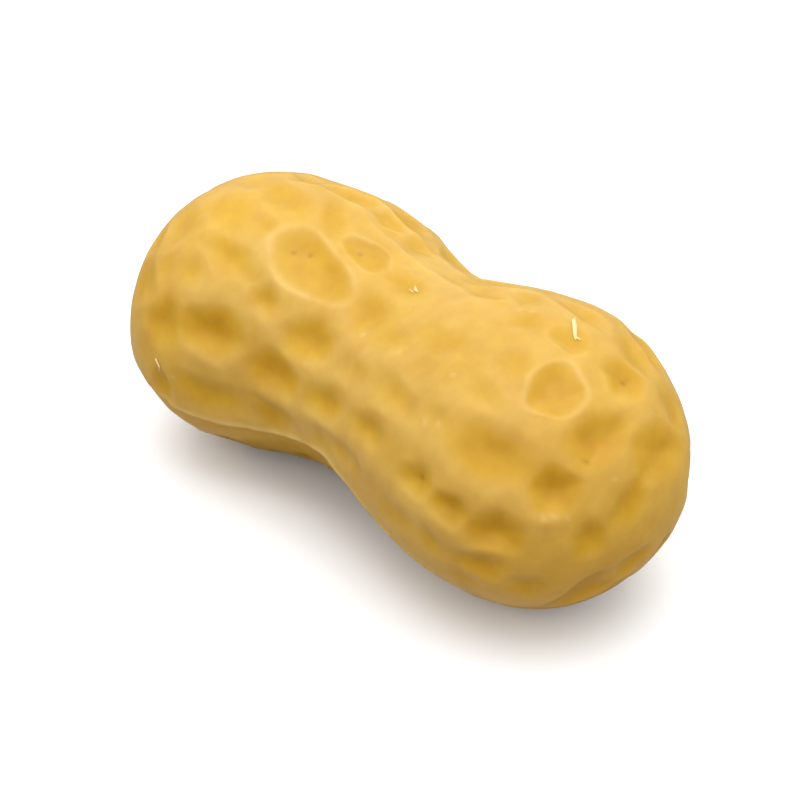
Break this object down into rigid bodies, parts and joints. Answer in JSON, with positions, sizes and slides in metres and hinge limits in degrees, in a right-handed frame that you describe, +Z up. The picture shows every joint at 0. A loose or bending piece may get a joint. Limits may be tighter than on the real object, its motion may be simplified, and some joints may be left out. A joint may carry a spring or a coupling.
{
  "type": "peanut",
  "caption": "Peanut in its shell: a waisted pod with two rounded lobes, a smooth dimpled golden skin and a low seam, lying on its side.",
  "frame": {"origin": "on the surface that the pod lies on, under the middle of its bounding box", "axes": "+X along the pod's length towards the fuller lobe, +Z up, -Y towards the side where the seam shows"},
  "size_m": [0.045, 0.0224, 0.0202],
  "materials": {
    "peanut_skin": "golden ochre, smooth and waxy with a satin sheen, dimples more orange"
  },
  "bodies": {
    "root": {"peanut": "peanut_skin"}
  },
  "joints": []
}
